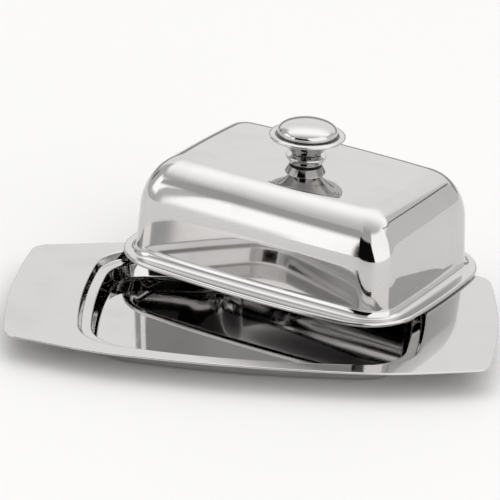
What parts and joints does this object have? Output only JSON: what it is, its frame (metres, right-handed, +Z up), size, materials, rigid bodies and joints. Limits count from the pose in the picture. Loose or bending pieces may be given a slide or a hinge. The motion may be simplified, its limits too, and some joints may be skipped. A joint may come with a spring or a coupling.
{
  "type": "butter dish",
  "caption": "Pressed steel butter dish: a winged tray with a shallow well, and a domed lid with a turned knob, resting askew on the rim.",
  "frame": {"origin": "middle of the tray's flat underside, on the surface that the dish stands on", "axes": "+X along the tray from wing to wing, +Y across the tray towards the side where the lid lies, +Z up"},
  "size_m": [0.19, 0.1676, 0.0696],
  "materials": {
    "tray_steel": "mirror-polished stainless sheet with faint wiping scratches",
    "lid_steel": "mirror-polished stainless sheet with faint drawing marks",
    "knob_steel": "turned and polished stainless, fine turning marks",
    "fastener_steel": "plain bright fastener steel",
    "seal_rubber": "matt black rubber ring"
  },
  "bodies": {
    "tray": {"tray": "tray_steel"},
    "lid": {"lid_shell": "lid_steel", "knob_seal": "seal_rubber", "knob_collar": "knob_steel", "knob_neck": "knob_steel", "knob_cap": "knob_steel", "knob_insert": "fastener_steel", "lid_screw": "fastener_steel", "screw_washer": "fastener_steel"}
  },
  "joints": [
    {"name": "lid_lift", "type": "slide", "parent": "tray", "child": "lid", "axis": [0, 0, 1], "range_m": [0, 0.08]}
  ]
}
